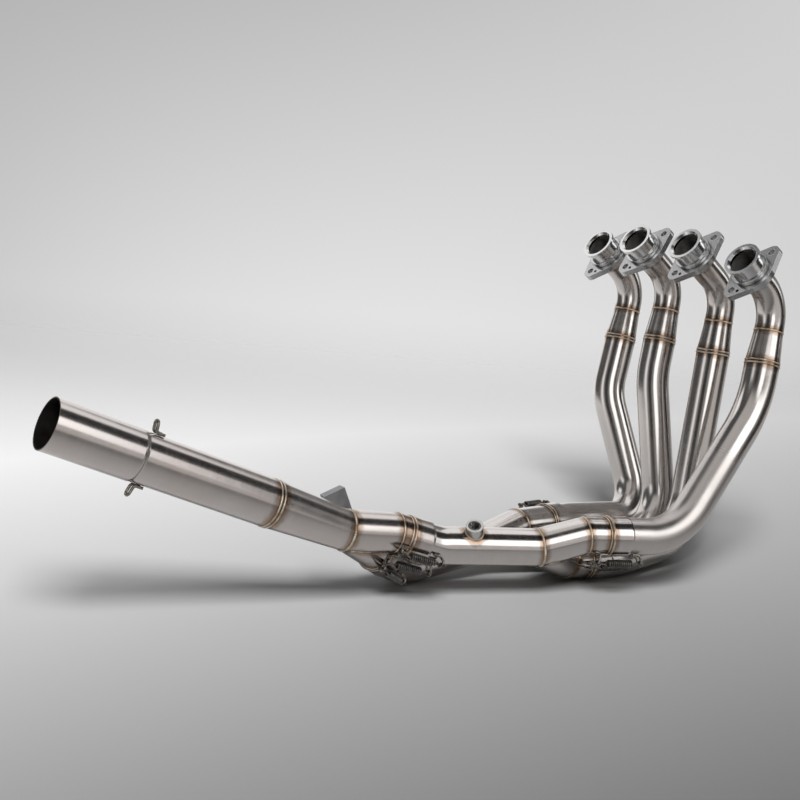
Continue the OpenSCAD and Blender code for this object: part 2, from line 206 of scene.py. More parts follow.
def addSweep(parts, path, sides, offset=0, slot=0, inward=False):
    base = len(parts["verts"])
    frames = ringFrames(path)
    for centre, side, up, radius, length in frames:
        parts["verts"] += [centre + out * (radius + offset) for out in circle(side, up, sides)]
    for k in range(len(frames) - 1):
        girth = 2 * math.pi * frames[k][3] / sides
        for j in range(sides):
            face = []
            uvs = []
            for ring, place in ((k, j), (k, j + 1), (k + 1, j + 1), (k + 1, j)):
                face.append(base + ring * sides + place % sides)
                uvs.append((frames[ring][4] * metre, place * girth * metre))
            if inward:
                face.reverse()
                uvs.reverse()
            addFace(parts, face, uvs, slot)


def addRim(parts, centre, way, innerR, outerR, sides):
    base = len(parts["verts"])
    for radius in (innerR, outerR):
        parts["verts"] += [centre + out * radius for out in circle(*squareTo(way), sides)]
    for j in range(sides):
        a, b = base + j, base + (j + 1) % sides
        uvs = [(0, j * metre), (metre, j * metre), (metre, (j + 1) * metre), (0, (j + 1) * metre)]
        addFace(parts, [a, a + sides, b + sides, b], uvs, smooth=False)


boreSlot = 1


def addTube(parts, path, ends=(True, True)):
    addSweep(parts, path, tubing["sides"])
    addSweep(parts, path, tubing["sides"], -tubing["wall"], boreSlot, True)
    for isOpen, k, sign in ((ends[0], 0, -1), (ends[1], -1, 1)):
        if isOpen:
            centre, way, radius = path[k]
            addRim(parts, centre, way * sign, radius - tubing["wall"], radius, tubing["sides"])


def addSocket(parts, joint):
    rim, knee = joints[joint]
    way = direction(knee, rim)
    chamfer = tubing["socketChamfer"]
    root = rim - way * tubing["socketLength"]
    shell = [(root, way, mainR - tubing["socketLap"]), (root, way, socketR - chamfer),
             (root + way * chamfer, way, socketR)]
    shell += [(root + way * reach, way, socketR) for reach in tubing["socketRings"]]
    shell += [(rim, way, socketR - chamfer)]
    addSweep(parts, shell, tubing["sides"])
    seat = root + way * tubing["socketStep"]
    boreR = tubing["socketBoreR"]
    bore = [(seat, way, mainR - tubing["wall"]), (seat, way, boreR), (rim, way, boreR)]
    addSweep(parts, bore, tubing["sides"], 0, boreSlot, True)
    addRim(parts, rim, way, boreR, socketR - chamfer, tubing["sides"])


def elbowOf(number):
    return ports["lips"][number] + portDir * ports["elbowReach"][number]


def headerCorners(number):
    route = headerRoutes[number]
    rim, knee = joints[route["joint"]]
    elbow = elbowOf(number)
    first = route["corners"][0]
    start = ports["lips"][number] + portDir * ports["tubeStart"]
    upper = [start, elbow, along(elbow, first, tubing["coneStart"]), along(elbow, first, coneEnd)]
    slip = [along(rim, knee, -tubing["leadIn"]), along(rim, knee, tubing["slipDepth"])]
    return upper + route["corners"] + slip


def evenRadii(corners, radius):
    return [(radius, radius)] * (len(corners) - 1)


def toSocket(corners):
    return corners[:-1] + [along(corners[-1], corners[-2], tubing["socketLength"] - tubing["lap"])]


nearEnd = along(rearSlip, rearKnee, tubing["slipDepth"])
farEnd = along(rearLowSlip, rearMitre, tubing["slipDepth"])
nearMain = toSocket([nearEnd, rearTurn, nearMitre, nearKnee, nearSlip])
nearFork = toSocket([nearRoot, nearLowKnee, nearLowSlip])
farMain = toSocket([farEnd, rearLowTurn, farMitre, farKnee, farSlip])
farFork = toSocket([farRoot, farLowKnee, farLowSlip])
linkMain = toSocket([outlet, along(outlet, rearMitre, tubing["landLength"]),
                     along(outlet, rearMitre, tubing["linkStraight"]), rearMitre, rearKnee, rearSlip])
linkFork = toSocket([rearRoot, rearLowSlip])


# Weld beads

beads = {
    "ring": {"width": 1.1, "height": 0.6, "ripple": 0.12, "pitch": 1.4},
    "mitre": {"width": 1.6, "height": 0.8, "ripple": 0.5, "pitch": 2.4},
    "profileSides": 8, "pointStep": 0.55, "widthRipple": 0.3, "closedGap": 3, "fewestPoints": 4,
    "seamReach": 95, "seamHalvings": 10,
    "neckShift": 0.3, "neckRise": 0.9, "coneShift": 2.2, "coneSink": 0.15, "tubeShift": 1.6,
    "rootShift": 0.6, "rootRise": 0.5, "shellShift": 2.4, "shellSink": 0.1, "linkShift": 2,
}


def pointCount(radius):
    return int(2 * math.pi * radius / beads["pointStep"])


def ringCurve(centre, way, radius):
    return [(centre + out * radius, out) for out in circle(*squareTo(way), pointCount(radius))]


# Depth of a point in the nearest tube, negative inside it, and the way out
def inside(point, runs):
    best = None
    for a, b, radius in runs:
        share = max(0, min(1, (point - a).dot(b - a) / (b - a).length_squared))
        foot = a.lerp(b, share)
        depth = (point - foot).length - radius
        if best is None or depth < best[0]:
            best = (depth, direction(foot, point))
    return best


def seamCurve(root, way, radius, runs, reach=beads["seamReach"]):
    curve = []
    for out in circle(*squareTo(way), pointCount(radius)):
        far = reach
        while far > 0 and inside(root + way * far + out * radius, runs)[0] > 0:
            far -= 1
        if far <= 0:
            continue
        low, high = far, far + 1
        for _ in range(beads["seamHalvings"]):
            middle = (low + high) / 2
            if inside(root + way * middle + out * radius, runs)[0] > 0:
                high = middle
            else:
                low = middle
        point = root + way * high + out * radius
        curve.append((point, (out + inside(point, runs)[1]).normalized()))
    return curve


def mitreWay(before, corner, after):
    return (direction(before, corner) + direction(corner, after)).normalized()


def socketBeads(joint):
    rim, knee = joints[joint]
    way = direction(knee, rim)
    root = rim - way * (tubing["socketLength"] + beads["rootShift"])
    shell = rim - way * (tubing["socketLength"] - beads["shellShift"])
    return [("ring", ringCurve(root, way, mainR + beads["rootRise"])),
            ("ring", ringCurve(shell, way, socketR - beads["shellSink"]))]


def cornerBead(kind, before, corner, after, radius=mainR):
    return (kind, ringCurve(corner, mitreWay(before, corner, after), radius))


def forkBead(root, toward, runs):
    return ("mitre", seamCurve(root, direction(root, toward), mainR, runs))


boss = {"up": 42, "way": vec(-0.33, -0.4, 0.855).normalized(), "radius": 9.75, "boreR": 5.4, "top": 32,
        "mouthR": 7.0, "mouthBlur": 0.2, "mouthPaintedShade": 0.16}
bossAt = along(rearTurn, nearMitre, boss["up"])

headerBeads = []
for number in range(4):
    neck = ports["lips"][number] + portDir * (ports["neckEnd"] + beads["neckShift"])
    elbow = elbowOf(number)
    way = direction(elbow, headerRoutes[number]["corners"][0])
    headerBeads.append([
        ("ring", ringCurve(neck, portDir, headR + beads["neckRise"])),
        ("ring", ringCurve(elbow + way * tubing["coneStart"], way, headR)),
        ("ring", ringCurve(elbow + way * (coneEnd - beads["coneShift"]), way, mainR - beads["coneSink"])),
        ("ring", ringCurve(elbow + way * (coneEnd + beads["tubeShift"]), way, mainR)),
    ])

nearRuns = [(rearTurn, nearMitre, mainR), (nearMitre, nearKnee, mainR)]
farRuns = [(rearLowTurn, farMitre, mainR), (farMitre, farKnee, mainR)]
linkRuns = [(outlet, rearMitre, neckR), (rearMitre, rearKnee, neckR)]
nearBeads = (socketBeads("nearUpper") + socketBeads("nearLower") + [
    cornerBead("ring", nearMitre, nearKnee, nearSlip),
    cornerBead("ring", nearRoot, nearLowKnee, nearLowSlip),
    cornerBead("mitre", rearTurn, nearMitre, nearKnee), forkBead(nearRoot, nearLowKnee, nearRuns)])
farBeads = (socketBeads("farUpper") + socketBeads("farLower") + [
    cornerBead("ring", farMitre, farKnee, farSlip), cornerBead("ring", farRoot, farLowKnee, farLowSlip),
    cornerBead("mitre", rearLowTurn, farMitre, farKnee), forkBead(farRoot, farLowKnee, farRuns)])
linkWay = direction(outlet, rearMitre)
linkPair = [("ring", ringCurve(outlet + linkWay * (tubing["linkStraight"] + shift), linkWay, linkBodyR))
            for shift in (-beads["linkShift"], beads["linkShift"])]
linkBeads = (socketBeads("rearUpper") + socketBeads("rearLower")
             + [cornerBead("ring", rearMitre, rearKnee, rearSlip, neckR)] + linkPair
             + [cornerBead("mitre", outlet, rearMitre, rearKnee, neckR)]
             + [forkBead(rearRoot, rearLowSlip, linkRuns)])
bossBeads = [("mitre", seamCurve(bossAt, boss["way"], boss["radius"], nearRuns, boss["top"]))]

heated = [point for group in headerBeads + [nearBeads, farBeads, linkBeads, bossBeads]
          for kind, curve in group for point, out in curve]
weldTree = KDTree(len(heated))
for index, point in enumerate(heated):
    weldTree.insert(point, index)
weldTree.balance()
print("weld curves ready:", len(heated), "points")


# Shader nodes

def setInput(tree, socket, value):
    if isinstance(value, bpy.types.NodeSocket):
        tree.links.new(value, socket)
    else:
        socket.default_value = value


def put(tree, kind, inputs=None, **settings):
    node = tree.nodes.new("ShaderNode" + kind)
    for name, value in settings.items():
        setattr(node, name, value)
    for name, value in (inputs or {}).items():
        setInput(tree, node.inputs[name], value)
    return node


def calculate(tree, operation, a, b):
    return put(tree, "Math", {0: a, 1: b}, operation=operation).outputs[0]


def times(tree, a, b):
    return calculate(tree, "MULTIPLY", a, b)


def plus(tree, a, b):
    return calculate(tree, "ADD", a, b)


def minus(tree, a, b):
    return calculate(tree, "SUBTRACT", a, b)


def dot(tree, a, b):
    return put(tree, "VectorMath", {0: a, 1: b}, operation="DOT_PRODUCT").outputs["Value"]


def lengthOf(tree, vector):
    return put(tree, "VectorMath", {0: vector}, operation="LENGTH").outputs["Value"]


def stretch(tree, vector, factors):
    return put(tree, "VectorMath", {0: vector, 1: factors}, operation="MULTIPLY").outputs[0]


def scaled(tree, vector, factor):
    return put(tree, "VectorMath", {0: vector, "Scale": factor}, operation="SCALE").outputs[0]


def noise(tree, vector, scale, detail, **more):
    return put(tree, "TexNoise", {"Vector": vector, "Scale": scale, "Detail": detail, **more}).outputs["Fac"]


def lineNoise(tree, distance, density):
    inputs = {"W": times(tree, distance, density), "Scale": 1.0, "Detail": 2.0}
    return put(tree, "TexNoise", inputs, noise_dimensions="1D").outputs["Fac"]


def remap(tree, value, given, wanted=(0.0, 1.0), curve="LINEAR"):
    inputs = {"Value": value, "From Min": given[0], "From Max": given[1],
              "To Min": wanted[0], "To Max": wanted[1]}
    return put(tree, "MapRange", inputs, interpolation_type=curve).outputs[0]


def clamped(tree, value, limits):
    return put(tree, "Clamp", {"Value": value, "Min": limits["least"], "Max": limits["most"]}).outputs[0]


def bumped(tree, strength, distance, height, **more):
    inputs = {"Strength": strength, "Distance": distance, "Height": height, **more}
    return put(tree, "Bump", inputs).outputs[0]


def grey(tree, value):
    return put(tree, "CombineColor", {0: value, 1: value, 2: value}).outputs[0]


def objectPlace(tree):
    return put(tree, "TexCoord").outputs["Object"]


def ramp(tree, fac, stops):
    node = put(tree, "ValToRGB", {"Fac": fac})
    elements = node.color_ramp.elements
    while len(elements) > 1:
        elements.remove(elements[-1])
    elements[0].position = stops[0][0]
    elements[0].color = (*stops[0][1], 1)
    for place, colour in stops[1:]:
        elements.new(place).color = (*colour, 1)
    return node.outputs["Color"]


def mixColour(tree, fac, a, b):
    node = put(tree, "Mix", data_type="RGBA")
    for index, value in ((0, fac), (6, a), (7, b)):
        setInput(tree, node.inputs[index], value)
    return node.outputs[2]


asNumber = "NodeSocketFloat"
asVector = "NodeSocketVector"
asColour = "NodeSocketColor"


def newGroup(name, inputs, outputs):
    group = bpy.data.node_groups.new(name, "ShaderNodeTree")
    for label, kind, value in inputs:
        socket = group.interface.new_socket(label, in_out="INPUT", socket_type=kind)
        if value is not None:
            socket.default_value = value
    for label, kind in outputs:
        group.interface.new_socket(label, in_out="OUTPUT", socket_type=kind)
    return group, group.nodes.new("NodeGroupInput").outputs, group.nodes.new("NodeGroupOutput").inputs


def useGroup(tree, group, **inputs):
    node = put(tree, "Group", node_tree=group)
    for name, value in inputs.items():
        setInput(tree, node.inputs[name], value)
    return node.outputs


# Scratches of a fine belt: short across the lines, long along them
belt = {"fine": (2600, 70, 70), "wide": (0.22, 0.6, 0.6), "fineShare": 0.6, "wideShare": 0.4,
        "blotchScale": 45.0}
grainGroup, given, out = newGroup(
    "beltGrain",
    [("Vector", asVector, None), ("Fineness", asNumber, 1.0), ("Blotch", asNumber, 0.5)],
    [("Height", asNumber), ("Shade", asNumber)])
tree = grainGroup
close = scaled(tree, stretch(tree, given["Vector"], belt["fine"]), given["Fineness"])
fine = noise(tree, close, 1.0, 3.0, Roughness=0.65)
wide = noise(tree, stretch(tree, close, belt["wide"]), 1.0, 2.0)
blotch = noise(tree, given["Vector"], belt["blotchScale"], 3.0)
height = plus(tree, times(tree, fine, belt["fineShare"]), times(tree, wide, belt["wideShare"]))
cloud = times(tree, minus(tree, blotch, 0.5), given["Blotch"])
tree.links.new(height, out["Height"])
tree.links.new(plus(tree, height, cloud), out["Shade"])

# Oxide colours either side of a weld, from dark brown at the bead out to straw
oxide = {
    "scale": 160.0, "wander": 0.9, "least": 0.55, "fade": (0.25, 1.0),
    "stops": [(0.0, (0.1, 0.065, 0.045)), (0.16, (0.26, 0.15, 0.085)), (0.3, (0.4, 0.27, 0.18)),
              (0.45, (0.33, 0.26, 0.22)), (0.62, (0.38, 0.34, 0.32)), (0.8, (0.52, 0.46, 0.4)),
              (1.0, (0.58, 0.55, 0.51))],
}
heatGroup, given, out = newGroup(
    "heatTint",
    [("Distance", asNumber, 1.0), ("Width", asNumber, 0.012), ("Strength", asNumber, 1.0),
     ("Vector", asVector, None)],
    [("Color", asColour), ("Mask", asNumber)])
tree = heatGroup
wander = noise(tree, given["Vector"], oxide["scale"], 2.0)
spread = times(tree, given["Width"], plus(tree, times(tree, wander, oxide["wander"]), oxide["least"]))
place = calculate(tree, "DIVIDE", given["Distance"], spread)
fade = remap(tree, place, oxide["fade"], (1.0, 0.0), "SMOOTHSTEP")
tree.links.new(ramp(tree, place, oxide["stops"]), out["Color"])
tree.links.new(times(tree, fade, given["Strength"]), out["Mask"])

# Handling marks and a thin film of dust
dust = {"smearScale": 24.0, "smear": (0.52, 0.78), "speckScale": 900.0, "speck": (0.68, 0.76),
        "speckShare": 0.5}
filmGroup, given, out = newGroup(
    "handlingFilm", [("Vector", asVector, None), ("Amount", asNumber, 0.3)], [("Mask", asNumber)])
tree = filmGroup
smear = noise(tree, given["Vector"], dust["smearScale"], 5.0, Roughness=0.6, Distortion=0.8)
smear = remap(tree, smear, dust["smear"])
speck = remap(tree, noise(tree, given["Vector"], dust["speckScale"], 1.0), dust["speck"])
both = calculate(tree, "MAXIMUM", smear, times(tree, speck, dust["speckShare"]))
tree.links.new(times(tree, both, given["Amount"]), out["Mask"])

# Bright worn edges, from the difference between the rounded and the true normal
wear = {"match": (0.995, 0.9), "nickScale": 300.0, "least": 0.3}
edgeGroup, given, out = newGroup(
    "wornEdge",
    [("Radius", asNumber, 0.0006), ("Vector", asVector, None)],
    [("Mask", asNumber), ("Normal", asVector)])
tree = edgeGroup
rounded = put(tree, "Bevel", {"Radius": given["Radius"]}, samples=4).outputs["Normal"]
worn = remap(tree, dot(tree, rounded, put(tree, "NewGeometry").outputs["Normal"]), wear["match"])
nick = plus(tree, noise(tree, given["Vector"], wear["nickScale"], 2.0), wear["least"])
tree.links.new(times(tree, worn, nick), out["Mask"])
tree.links.new(rounded, out["Normal"])

# Painted shade: colour made darker inside holes and where pieces meet, by how hemmed in each point is
paintedShadeGroup, given, out = newGroup("paintedHollowShade", [("Reach", asNumber, 0.006)], [("Openness", asNumber)])
tree = paintedShadeGroup
openness = put(tree, "AmbientOcclusion", {"Distance": given["Reach"]}, samples=8).outputs["AO"]
tree.links.new(remap(tree, openness, (0.2, 0.85), (0.12, 1.0), "SMOOTHSTEP"), out["Openness"])


# Materials

def newMaterial(name, preview):
    material = bpy.data.materials.new(name)
    material.use_nodes = True
    material.diffuse_color = (*preview, 1)
    tree = material.node_tree
    tree.nodes.clear()
    shader = put(tree, "BsdfPrincipled")
    put(tree, "OutputMaterial", {"Surface": shader.outputs[0]})
    return material, tree, shader


def feed(tree, shader, **inputs):
    for name, value in inputs.items():
        setInput(tree, shader.inputs[name.replace("_", " ")], value)


# Most values of a noise lie between these two
swing = (0.3, 0.7)

tubeLook = {
    "steel": (0.62, 0.6, 0.58), "fineness": 1.0, "blotch": 0.5, "contrast": 0.06,
    "warmth": 0.3, "warmScale": 14.0, "warm": (0.64, 0.5, 0.45, 1),
    "heatWidth": 0.01, "heat": 0.95, "film": 0.3, "filmShare": 0.25, "dust": (0.4, 0.38, 0.36, 1),
    "rough": 0.17, "roughBelow": 0.035, "roughAbove": 0.045, "filmRough": 0.12,
    "bumpStrength": 0.35, "bump": 0.00002, "stretch": 0.5,
    "satinFrom": 0.25, "satinOver": 0.05, "satin": 0.04,
}
linkLook = {**tubeLook, "steel": (0.62, 0.595, 0.575), "rough": 0.22, "contrast": 0.07, "warmth": 0.4,
            "heatWidth": 0.012, "stretch": 0.55, "satin": 0}


def tubeMaterial(name, look):
    material, tree, shader = newMaterial(name, look["steel"])
    uv = put(tree, "TexCoord").outputs["UV"]
    spot = objectPlace(tree)
    grain = useGroup(tree, grainGroup, Vector=uv, Fineness=look["fineness"], Blotch=look["blotch"])
    distance = put(tree, "Attribute", attribute_name="weldDistance").outputs["Fac"]
    heat = useGroup(tree, heatGroup, Distance=distance, Width=look["heatWidth"], Strength=look["heat"],
                    Vector=spot)
    film = useGroup(tree, filmGroup, Vector=spot, Amount=look["film"])["Mask"]
    shade = remap(tree, grain["Shade"], swing, (1 - look["contrast"], 1 + look["contrast"]))
    warm = times(tree, noise(tree, spot, look["warmScale"], 2.0), look["warmth"])
    toned = mixColour(tree, warm, scaled(tree, look["steel"], shade), look["warm"])
    tinted = mixColour(tree, heat["Mask"], toned, heat["Color"])
    dusty = mixColour(tree, times(tree, film, look["filmShare"]), tinted, look["dust"])
    roughReach = (look["rough"] - look["roughBelow"], look["rough"] + look["roughAbove"])
    rough = remap(tree, grain["Shade"], swing, roughReach)
    rough = plus(tree, rough, times(tree, film, look["filmRough"]))
    length = put(tree, "SeparateXYZ", {0: uv}).outputs["X"]
    satinReach = (look["satinFrom"], look["satinFrom"] + look["satinOver"])
    rough = plus(tree, rough, remap(tree, length, satinReach, (0.0, look["satin"]), "SMOOTHSTEP"))
    bump = bumped(tree, look["bumpStrength"], look["bump"], grain["Height"])
    tangent = put(tree, "Tangent", direction_type="UV_MAP").outputs[0]
    feed(tree, shader, Base_Color=dusty, Metallic=1.0, Roughness=rough, Normal=bump,
         Anisotropic=look["stretch"], Tangent=tangent)
    return material


headerSteel = tubeMaterial("brushedHeaderTube", tubeLook)
satinSteel = tubeMaterial("satinHeaderTube", {**tubeLook, "satin": 0.15})
collectorSteel = tubeMaterial("brushedCollectorTube", {**tubeLook, "satin": 0})
linkSteel = tubeMaterial("brushedLinkTube", linkLook)


def boreMaterial(name, look):
    material, tree, shader = newMaterial(name, look["high"])
    soot = noise(tree, objectPlace(tree), look["scale"], 5.0)
    shade = ramp(tree, soot, [(swing[0], look["low"]), (swing[1], look["high"])])
    feed(tree, shader, Base_Color=shade, Metallic=0.9, Roughness=remap(tree, soot, (0.0, 1.0), look["rough"]))
    return material


headerBore = boreMaterial("cleanBore", {
    "low": (0.2, 0.19, 0.185), "high": (0.42, 0.4, 0.38), "scale": 70.0, "rough": (0.2, 0.4)})
linkBore = boreMaterial("oxidisedBore", {
    "low": (0.012, 0.011, 0.01), "high": (0.045, 0.04, 0.037), "scale": 70.0, "rough": (0.4, 0.6)})

beadLook = {
    "preview": (0.5, 0.4, 0.3), "film": 0.3, "dust": (0.25, 0.2, 0.17, 1), "rough": (0.2, 0.42),
    "toneScale": 120.0, "scaleScale": 1500.0, "bumpStrength": 0.3, "bump": 0.0001,
    "stops": [(0.3, (0.34, 0.25, 0.18)), (0.45, (0.6, 0.52, 0.42)), (0.55, (0.72, 0.68, 0.6)),
              (0.72, (0.5, 0.44, 0.4))],
}


def beadMaterial():
    material, tree, shader = newMaterial("weldBead", beadLook["preview"])
    spot = objectPlace(tree)
    tone = noise(tree, spot, beadLook["toneScale"], 3.0)
    scale = noise(tree, spot, beadLook["scaleScale"], 2.0)
    film = useGroup(tree, filmGroup, Vector=spot, Amount=beadLook["film"])["Mask"]
    dulled = mixColour(tree, film, ramp(tree, tone, beadLook["stops"]), beadLook["dust"])
    rough = remap(tree, tone, (0.0, 1.0), beadLook["rough"])
    bump = bumped(tree, beadLook["bumpStrength"], beadLook["bump"], scale)
    feed(tree, shader, Base_Color=dulled, Metallic=1.0, Roughness=rough, Normal=bump)
    return material


beadSteel = beadMaterial()


# Metal of the small pieces. A pattern gives the tone, the height and, if need be, a painted shade over them
def pieceMaterial(name, look, pattern):
    material, tree, shader = newMaterial(name, look.get("preview", look["low"]))
    spot = objectPlace(tree)
    tone, height, over = pattern(tree, spot, look)
    film = useGroup(tree, filmGroup, Vector=spot, Amount=look["film"])["Mask"]
    edge = useGroup(tree, edgeGroup, Radius=look["edge"], Vector=spot)
    shade = ramp(tree, tone, [(swing[0], look["low"]), (swing[1], look["high"])])
    # the pattern's painted shade, where it has one
    if over:
        shade = scaled(tree, shade, over)
    dulled = mixColour(tree, times(tree, film, look["filmShare"]), shade, (*look["dust"], 1))
    bright = mixColour(tree, times(tree, edge["Mask"], look["wear"]), dulled, (*look["worn"], 1))
    # painted shade: the colour is darkened inside holes and where pieces meet
    if "paintedHollowShade" in look:
        bright = scaled(tree, bright, useGroup(tree, paintedShadeGroup, Reach=look["paintedHollowShade"])["Openness"])
    rough = remap(tree, tone, (0.0, 1.0), look["rough"])
    bump = bumped(tree, look["bumpStrength"], look["bump"], height, Normal=edge["Normal"])
    feed(tree, shader, Base_Color=bright, Metallic=1.0, Roughness=rough, Normal=bump)
    return material


def lathePattern(tree, spot, look):
    line = lineNoise(tree, dot(tree, spot, portDir), look["lines"])
    return line, line, None


def beltPattern(tree, spot, look):
    grain = useGroup(tree, grainGroup, Vector=spot, Fineness=look["fineness"], Blotch=look["blotch"])
    return grain["Shade"], grain["Height"], None


def mottlePattern(tree, spot, look):
    tone = noise(tree, spot, look["scale"], 4.0)
    return tone, tone, None


def bossPattern(tree, spot, look):
    apart = put(tree, "VectorMath", {0: spot, 1: bossAt * metre}, operation="SUBTRACT").outputs[0]
    radial = put(tree, "VectorMath", {0: apart, 1: boss["way"]}, operation="CROSS_PRODUCT").outputs[0]
    radius = lengthOf(tree, radial)
    line = lineNoise(tree, radius, look["lines"])
    # painted shade: inside the mouth of the bore the colour is darkened
    mouth = [(boss["mouthR"] + blur) * metre for blur in (-boss["mouthBlur"], boss["mouthBlur"])]
    return line, line, remap(tree, radius, mouth, (boss["mouthPaintedShade"], 1.0))


turnedSteel = pieceMaterial("turnedSteel", {
    "preview": (0.75, 0.75, 0.75), "low": (0.62, 0.62, 0.62), "high": (0.78, 0.78, 0.78), "lines": 3500.0,
    "film": 0.3, "filmShare": 0.4, "dust": (0.4, 0.39, 0.37), "edge": 0.0005, "wear": 1.0,
    "worn": (0.9, 0.9, 0.9), "paintedHollowShade": 0.005, "rough": (0.1, 0.2), "bumpStrength": 0.4, "bump": 0.00002},
    lathePattern)
bossSteel = pieceMaterial("sensorBossSteel", {
    "preview": (0.6, 0.6, 0.6), "low": (0.55, 0.54, 0.52), "high": (0.72, 0.71, 0.69), "lines": 4500.0,
    "film": 0.4, "filmShare": 0.4, "dust": (0.4, 0.36, 0.32), "edge": 0.0006, "wear": 1.0,
    "worn": (0.9, 0.88, 0.85), "rough": (0.14, 0.24), "bumpStrength": 0.4, "bump": 0.00002}, bossPattern)
milledSteel = pieceMaterial("milledFlange", {
    "preview": (0.65, 0.65, 0.66), "low": (0.5, 0.5, 0.505), "high": (0.58, 0.58, 0.58), "fineness": 0.6,
    "blotch": 0.25, "film": 0.4, "filmShare": 0.4, "dust": (0.32, 0.31, 0.3), "edge": 0.0007, "wear": 1.0,
    "worn": (0.86, 0.86, 0.86), "paintedHollowShade": 0.007, "rough": (0.2, 0.3), "bumpStrength": 0.08, "bump": 0.00002},
    beltPattern)
darkLook = {"film": 0.5, "filmShare": 0.5, "dust": (0.2, 0.18, 0.16), "wear": 0.6, "worn": (0.6, 0.6, 0.6),
            "paintedHollowShade": 0.003, "bumpStrength": 0.25, "bump": 0.00006}
springSteel = pieceMaterial("springWire", {
    **darkLook, "low": (0.07, 0.065, 0.06), "high": (0.2, 0.19, 0.18),
    "scale": 260.0, "edge": 0.0002, "rough": (0.22, 0.42)}, mottlePattern)
hookSteel = pieceMaterial("hookWire", {
    **darkLook, "low": (0.16, 0.14, 0.12), "high": (0.38, 0.35, 0.32),
    "scale": 180.0, "edge": 0.0003, "rough": (0.18, 0.38)}, mottlePattern)
sheetSteel = pieceMaterial("bracketSheet", {
    **darkLook, "low": (0.2, 0.2, 0.21), "high": (0.3, 0.3, 0.31),
    "scale": 90.0, "edge": 0.0005, "rough": (0.3, 0.5)}, mottlePattern)
print("materials ready")


# Pieces

def makePiece(name, parts, materials, nodes=(), heat=False):
    mesh = bpy.data.meshes.new(name)
    mesh.from_pydata([tuple(point * metre) for point in parts["verts"]], [], parts["faces"])
    mesh.polygons.foreach_set("use_smooth", parts["smooth"])
    mesh.polygons.foreach_set("material_index", parts["slots"])
    layer = mesh.uv_layers.new(name="lengthAndGirth")
    flat = [value for face in parts["uvs"] for pair in face for value in pair]
    layer.data.foreach_set("uv", flat)
    if heat:
        distances = [weldTree.find(point)[2] * metre for point in parts["verts"]]
        mesh.attributes.new("weldDistance", "FLOAT", "POINT").data.foreach_set("value", distances)
    for material in materials:
        mesh.materials.append(material)
    mesh.update()
    piece = bpy.data.objects.new(name, mesh)
    bpy.context.scene.collection.objects.link(piece)
    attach(piece, "root")
    if nodes:
        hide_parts(*nodes)
    return piece


# The name of the piece that takes a node's place: near_upper_spring gives nearUpperSpring
def pieceName(node):
    first, *rest = node.split("_")
    return first + "".join(word.title() for word in rest)


# The pipe nearest to the eye has a satin finish, from a little way down
satinPipe = 4
for number in range(4):
    node = f"header_pipe_{number + 1}"
    corners = headerCorners(number)
    radii = [(headR, headR)] * 2 + [(headR, mainR)] + [(mainR, mainR)] * (len(corners) - 4)
    parts = newParts()
    addTube(parts, bentPath(corners, [0, ports["elbowBend"], 0, 0] + headerRoutes[number]["bends"], radii))
    steel = satinSteel if number + 1 == satinPipe else headerSteel
    makePiece(pieceName(node), parts, [steel, headerBore], [node], True)

tight = tubing["tightBend"]
collectors = {
    "near_collector": (nearMain, nearFork, ("nearUpper", "nearLower")),
    "far_collector": (farMain, farFork, ("farUpper", "farLower")),
}
for node, (main, fork, sockets) in collectors.items():
    parts = newParts()
    mainBends = [0, tubing["sweepBend"], tight, tight, 0]
    addTube(parts, bentPath(main, mainBends, evenRadii(main, mainR)), (True, False))
    addTube(parts, bentPath(fork, [0, tubing["forkBend"], 0], evenRadii(fork, mainR)), (False, False))
    for joint in sockets:
        addSocket(parts, joint)
    makePiece(pieceName(node), parts, [collectorSteel, headerBore], [node], True)

parts = newParts()
linkRadii = [(linkR, linkR), (linkBodyR, linkBodyR), (linkBodyR, neckR), (neckR, neckR), (neckR, neckR)]
linkBends = [0, 0, 0, tubing["linkBend"], tubing["linkBend"], 0]
addTube(parts, bentPath(linkMain, linkBends, linkRadii), (True, False))
addTube(parts, bentPath(linkFork, [0, 0], evenRadii(linkFork, mainR)), (False, False))
addSocket(parts, "rearUpper")
addSocket(parts, "rearLower")
makePiece("linkPipe", parts, [linkSteel, linkBore], ["link_pipe"], True)
print("tubes ready")


def addBead(parts, kind, curve):
    look = beads[kind]
    sides = beads["profileSides"]
    count = len(curve)
    closed = (curve[0][0] - curve[-1][0]).length < beads["closedGap"]
    base = len(parts["verts"])
    length = 0
    for k, (point, out) in enumerate(curve):
        ahead = curve[(k + 1) % count][0] if closed or k < count - 1 else point
        behind = curve[k - 1][0] if closed or k else point
        if k:
            length += (point - behind).length
        across = direction(behind, ahead).cross(out).normalized()
        beat = look["ripple"] * math.cos(2 * math.pi * length / look["pitch"])
        width = look["width"] * (1 + beads["widthRipple"] * beat)
        height = look["height"] * (1 + beat)
        parts["verts"] += [point + around for around in circle(across * width, out * height, sides)]
    uvs = [(0, 0), (0, metre), (metre, metre), (metre, 0)]
    for k in range(count if closed else count - 1):
        here = base + k * sides
        beyond = base + (k + 1) % count * sides
        for j in range(sides):
            after = (j + 1) % sides
            addFace(parts, [here + j, here + after, beyond + after, beyond + j], uvs)


def makeBeads(name, group):
    parts = newParts()
    for kind, curve in group:
        if len(curve) >= beads["fewestPoints"]:
            addBead(parts, kind, curve)
    makePiece(name, parts, [beadSteel])


for number, group in enumerate(headerBeads):
    makeBeads(f"headerWelds{number + 1}", group)
makeBeads("nearCollectorWelds", nearBeads)
makeBeads("farCollectorWelds", farBeads)
makeBeads("linkPipeWelds", linkBeads)
makeBeads("sensorBossWeld", bossBeads)
print("weld beads ready")


# Springs

